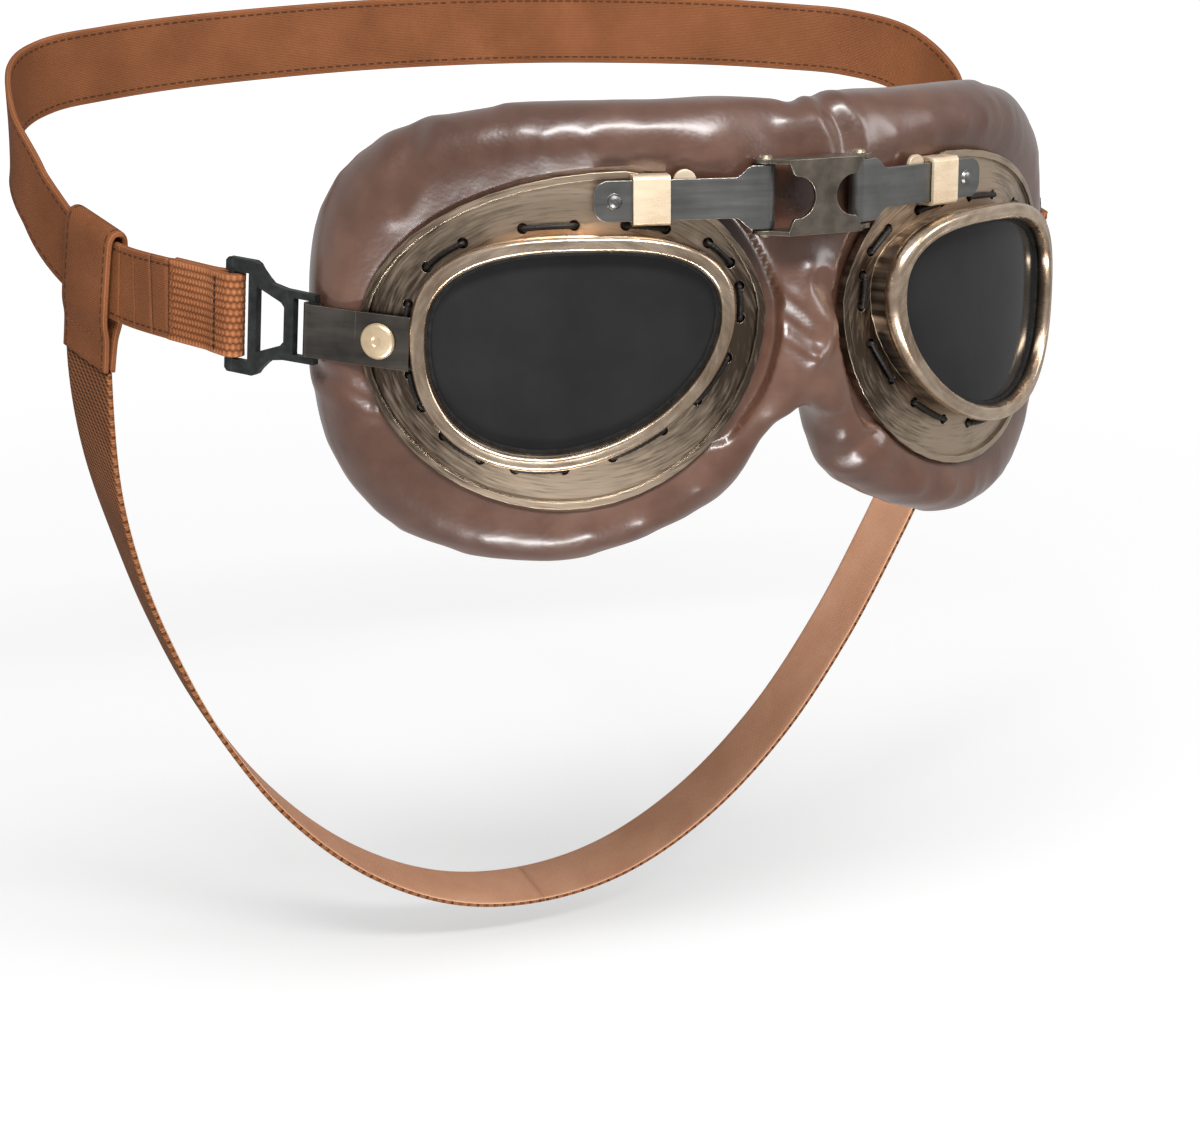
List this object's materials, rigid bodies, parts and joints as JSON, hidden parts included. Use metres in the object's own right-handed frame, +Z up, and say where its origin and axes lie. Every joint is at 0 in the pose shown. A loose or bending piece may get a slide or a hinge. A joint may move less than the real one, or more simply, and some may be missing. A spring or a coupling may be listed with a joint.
{
  "type": "dog goggles",
  "caption": "Padded aviator-style goggles for a dog: hinged metal lens cups on a leather cushion, elastic head strap and chin strap.",
  "frame": {"origin": "middle of the face side of the cushion, between the eyes, level with the lens centres", "axes": "+X along the width towards the right-hand lens as seen from in front, +Y back towards the head, +Z up; the lenses face -Y"},
  "size_m": [0.289, 0.219, 0.2624],
  "materials": {
    "bronze": "antiqued bronze, brushed",
    "bezel_bronze": "polished antiqued bronze",
    "bridge_metal": "dark antiqued metal",
    "arm_metal": "gunmetal plating",
    "keeper_brass": "bright brass",
    "tab_metal": "dark antiqued bronze",
    "rivet_brass": "pale polished brass",
    "buckle_black": "black enamel",
    "lens_tint": "dark grey tinted polycarbonate",
    "gasket_rubber": "black rubber",
    "lace_cord": "waxed black cord",
    "leather": "glossy brown leatherette",
    "webbing": "brown woven elastic"
  },
  "bodies": {
    "bridge": {"bridge_plate": "bridge_metal", "hinge_pin_left": "rivet_brass", "hinge_pin_right": "rivet_brass", "nose_cushion": "leather", "head_strap": "webbing", "chin_strap": "webbing", "chin_loop_left": "webbing", "chin_loop_right": "webbing", "strap_side_left": "webbing", "strap_side_right": "webbing"},
    "arm_right_body": {"arm_right": "arm_metal"},
    "cup_right": {"frame_right": "bronze", "bezel_right": "bezel_bronze", "lens_right": "lens_tint", "gasket_right": "gasket_rubber", "lacing_right": "lace_cord", "keeper_right": "keeper_brass", "side_tab_right": "tab_metal", "tab_rivet_right": "rivet_brass", "cushion_right": "leather"},
    "buckle_right_body": {"buckle_right": "buckle_black"},
    "strap_end_right_body": {"strap_end_right": "webbing"},
    "arm_left_body": {"arm_left": "arm_metal"},
    "cup_left": {"frame_left": "bronze", "bezel_left": "bezel_bronze", "lens_left": "lens_tint", "gasket_left": "gasket_rubber", "lacing_left": "lace_cord", "keeper_left": "keeper_brass", "side_tab_left": "tab_metal", "tab_rivet_left": "rivet_brass", "cushion_left": "leather"},
    "buckle_left_body": {"buckle_left": "buckle_black"},
    "strap_end_left_body": {"strap_end_left": "webbing"}
  },
  "joints": [
    {"name": "arm_hinge_right", "type": "hinge", "parent": "bridge", "child": "arm_right_body", "pos_m": [0.0122, -0.0128, 0.034], "axis": [0, 0, 1], "range_deg": [-8, 12], "deforming": ["nose_cushion", "strap_side_right"]},
    {"name": "cup_slide_right", "type": "slide", "parent": "arm_right_body", "child": "cup_right", "axis": [0.9636, 0.2672, 0], "range_m": [-0.003, 0.002], "deforming": ["nose_cushion", "strap_side_right"]},
    {"name": "buckle_hinge_right", "type": "hinge", "parent": "cup_right", "child": "buckle_right_body", "pos_m": [0.10113, 0.04125, 0.00241], "axis": [-0.0468, -0.0517, 0.9976], "range_deg": [-20, 30], "deforming": ["strap_side_right"]},
    {"name": "strap_end_hinge_right", "type": "hinge", "parent": "buckle_right_body", "child": "strap_end_right_body", "pos_m": [0.11393, 0.06089, 0.00403], "axis": [-0.0468, -0.0517, 0.9976], "range_deg": [-25, 25], "deforming": ["strap_side_right"]},
    {"name": "arm_hinge_left", "type": "hinge", "parent": "bridge", "child": "arm_left_body", "pos_m": [-0.0122, -0.0128, 0.034], "axis": [0, 0, -1], "range_deg": [-8, 12], "deforming": ["nose_cushion", "strap_side_left"]},
    {"name": "cup_slide_left", "type": "slide", "parent": "arm_left_body", "child": "cup_left", "axis": [-0.9636, 0.2672, 0], "range_m": [-0.003, 0.002], "deforming": ["nose_cushion", "strap_side_left"]},
    {"name": "buckle_hinge_left", "type": "hinge", "parent": "cup_left", "child": "buckle_left_body", "pos_m": [-0.10113, 0.04125, 0.00241], "axis": [-0.0468, 0.0517, -0.9976], "range_deg": [-20, 30], "deforming": ["strap_side_left"]},
    {"name": "strap_end_hinge_left", "type": "hinge", "parent": "buckle_left_body", "child": "strap_end_left_body", "pos_m": [-0.11393, 0.06089, 0.00403], "axis": [-0.0468, 0.0517, -0.9976], "range_deg": [-25, 25], "deforming": ["strap_side_left"]}
  ]
}
